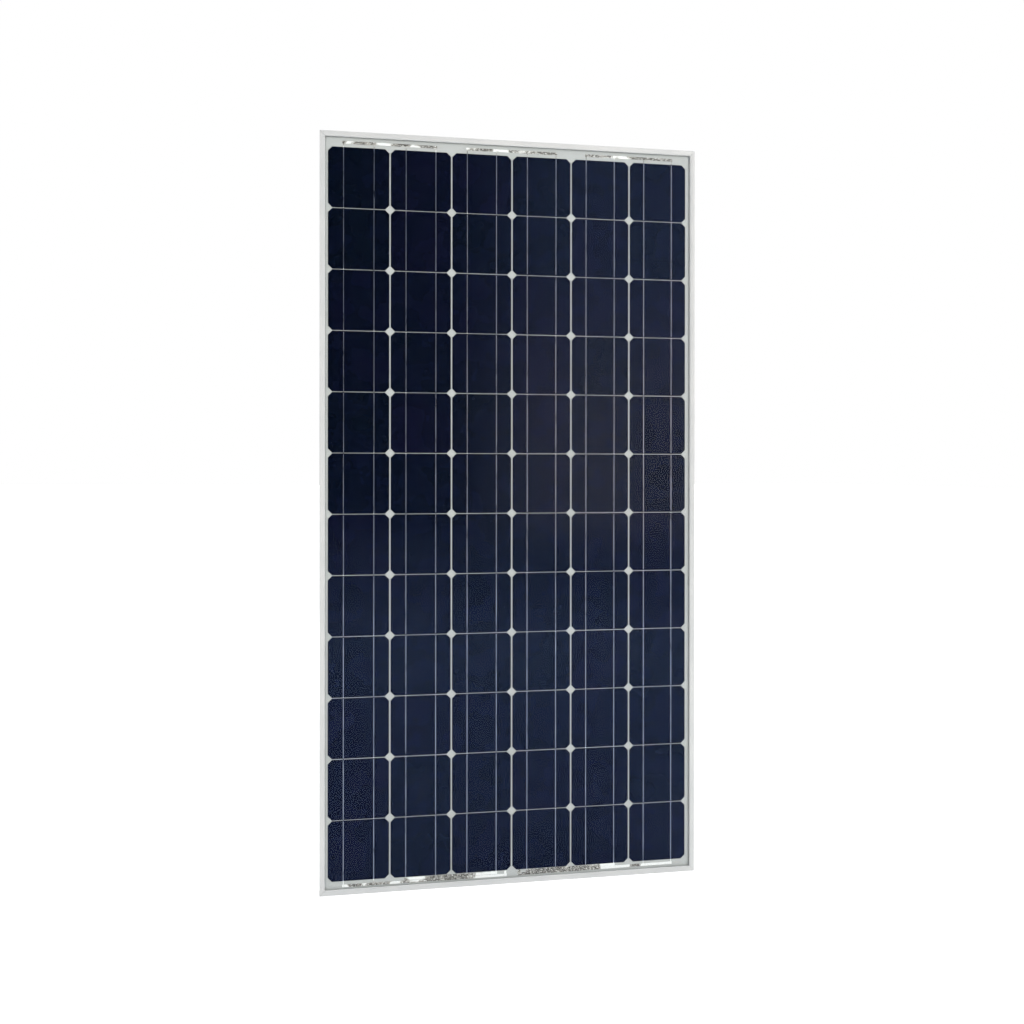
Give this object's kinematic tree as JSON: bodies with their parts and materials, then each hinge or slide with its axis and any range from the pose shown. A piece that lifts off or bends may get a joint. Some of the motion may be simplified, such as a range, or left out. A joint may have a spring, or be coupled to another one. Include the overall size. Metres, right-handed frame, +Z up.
{
  "type": "solar panel",
  "caption": "Framed monocrystalline solar module with glass front, ribboned square cells, aluminium rails and a rear junction box with a hinged lid and cable glands.",
  "frame": {"origin": "middle of the module's lower outer edge, half-way through its depth", "axes": "+X to the right as seen from the sunny side, +Z up the height, -Y out of the sunny side"},
  "size_m": [0.808, 0.035, 1.58],
  "materials": {
    "anodised_aluminium": "satin clear anodised extrusion",
    "die_cast": "plain die-cast",
    "edge_sealant": "matt grey sealant",
    "solar_glass": "low-iron tempered glass, lightly textured",
    "clear_encapsulant": "clear laminated film",
    "silicon_cells": "dark blue anti-reflection coated silicon",
    "white_backsheet": "white polymer film",
    "tinned_ribbon": "tinned copper, slightly crinkled",
    "terminal_metal": "tin-plated",
    "spring_steel": "plain spring steel",
    "diode_black": "moulded epoxy",
    "box_plastic": "fine moulded texture",
    "black_rubber": "matt",
    "white_silicone": "matt bead",
    "label_film": "blank satin film"
  },
  "bodies": {
    "module": {"frame_rail_left": "anodised_aluminium", "frame_rail_right": "anodised_aluminium", "frame_rail_top": "anodised_aluminium", "frame_rail_bottom": "anodised_aluminium", "corner_key_bottom_left": "die_cast", "corner_key_bottom_right": "die_cast", "corner_key_top_left": "die_cast", "corner_key_top_right": "die_cast", "edge_seal": "edge_sealant", "front_glass": "solar_glass", "front_encapsulant": "clear_encapsulant", "rear_encapsulant": "clear_encapsulant", "cell_string_1": "silicon_cells", "cell_string_2": "silicon_cells", "cell_string_3": "silicon_cells", "cell_string_4": "silicon_cells", "cell_string_5": "silicon_cells", "cell_string_6": "silicon_cells", "backsheet": "white_backsheet", "lead_insulator": "white_backsheet", "bus_link_top_1_2": "tinned_ribbon", "bus_link_top_3_4": "tinned_ribbon", "bus_link_top_5_6": "tinned_ribbon", "bus_link_bottom_2_3": "tinned_ribbon", "bus_link_bottom_4_5": "tinned_ribbon", "bus_lead_string_1": "tinned_ribbon", "bus_lead_string_6": "tinned_ribbon", "terminal_1": "terminal_metal", "terminal_2": "terminal_metal", "terminal_3": "terminal_metal", "terminal_4": "terminal_metal", "ribbon_clamp_1": "spring_steel", "ribbon_clamp_2": "spring_steel", "ribbon_clamp_3": "spring_steel", "ribbon_clamp_4": "spring_steel", "lid_hinge_pin": "spring_steel", "bypass_diode_1": "diode_black", "bypass_diode_2": "diode_black", "bypass_diode_3": "diode_black", "junction_box_base": "box_plastic", "gland_left_body": "box_plastic", "gland_left_locknut": "box_plastic", "gland_right_body": "box_plastic", "gland_right_locknut": "box_plastic", "junction_box_lid_seal": "black_rubber", "gland_left_grommet": "black_rubber", "gland_right_grommet": "black_rubber", "junction_box_adhesive": "white_silicone", "rating_label_blank": "label_film"},
    "box_lid": {"junction_box_lid": "box_plastic"},
    "gland_nut_left": {"gland_left_nut": "box_plastic"},
    "gland_nut_right": {"gland_right_nut": "box_plastic"}
  },
  "joints": [
    {"name": "lid_hinge", "type": "hinge", "parent": "module", "child": "box_lid", "pos_m": [0, 0.0135, 0.1445], "axis": [1, 0, 0], "range_deg": [0, 110]},
    {"name": "gland_nut_left_turn", "type": "hinge", "parent": "module", "child": "gland_nut_left", "pos_m": [-0.06, 0.0024, 0.122], "axis": [-1, 0, 0], "range_deg": [0, 540]},
    {"name": "gland_nut_right_turn", "type": "hinge", "parent": "module", "child": "gland_nut_right", "pos_m": [0.06, 0.0024, 0.122], "axis": [1, 0, 0], "range_deg": [0, 540]}
  ]
}
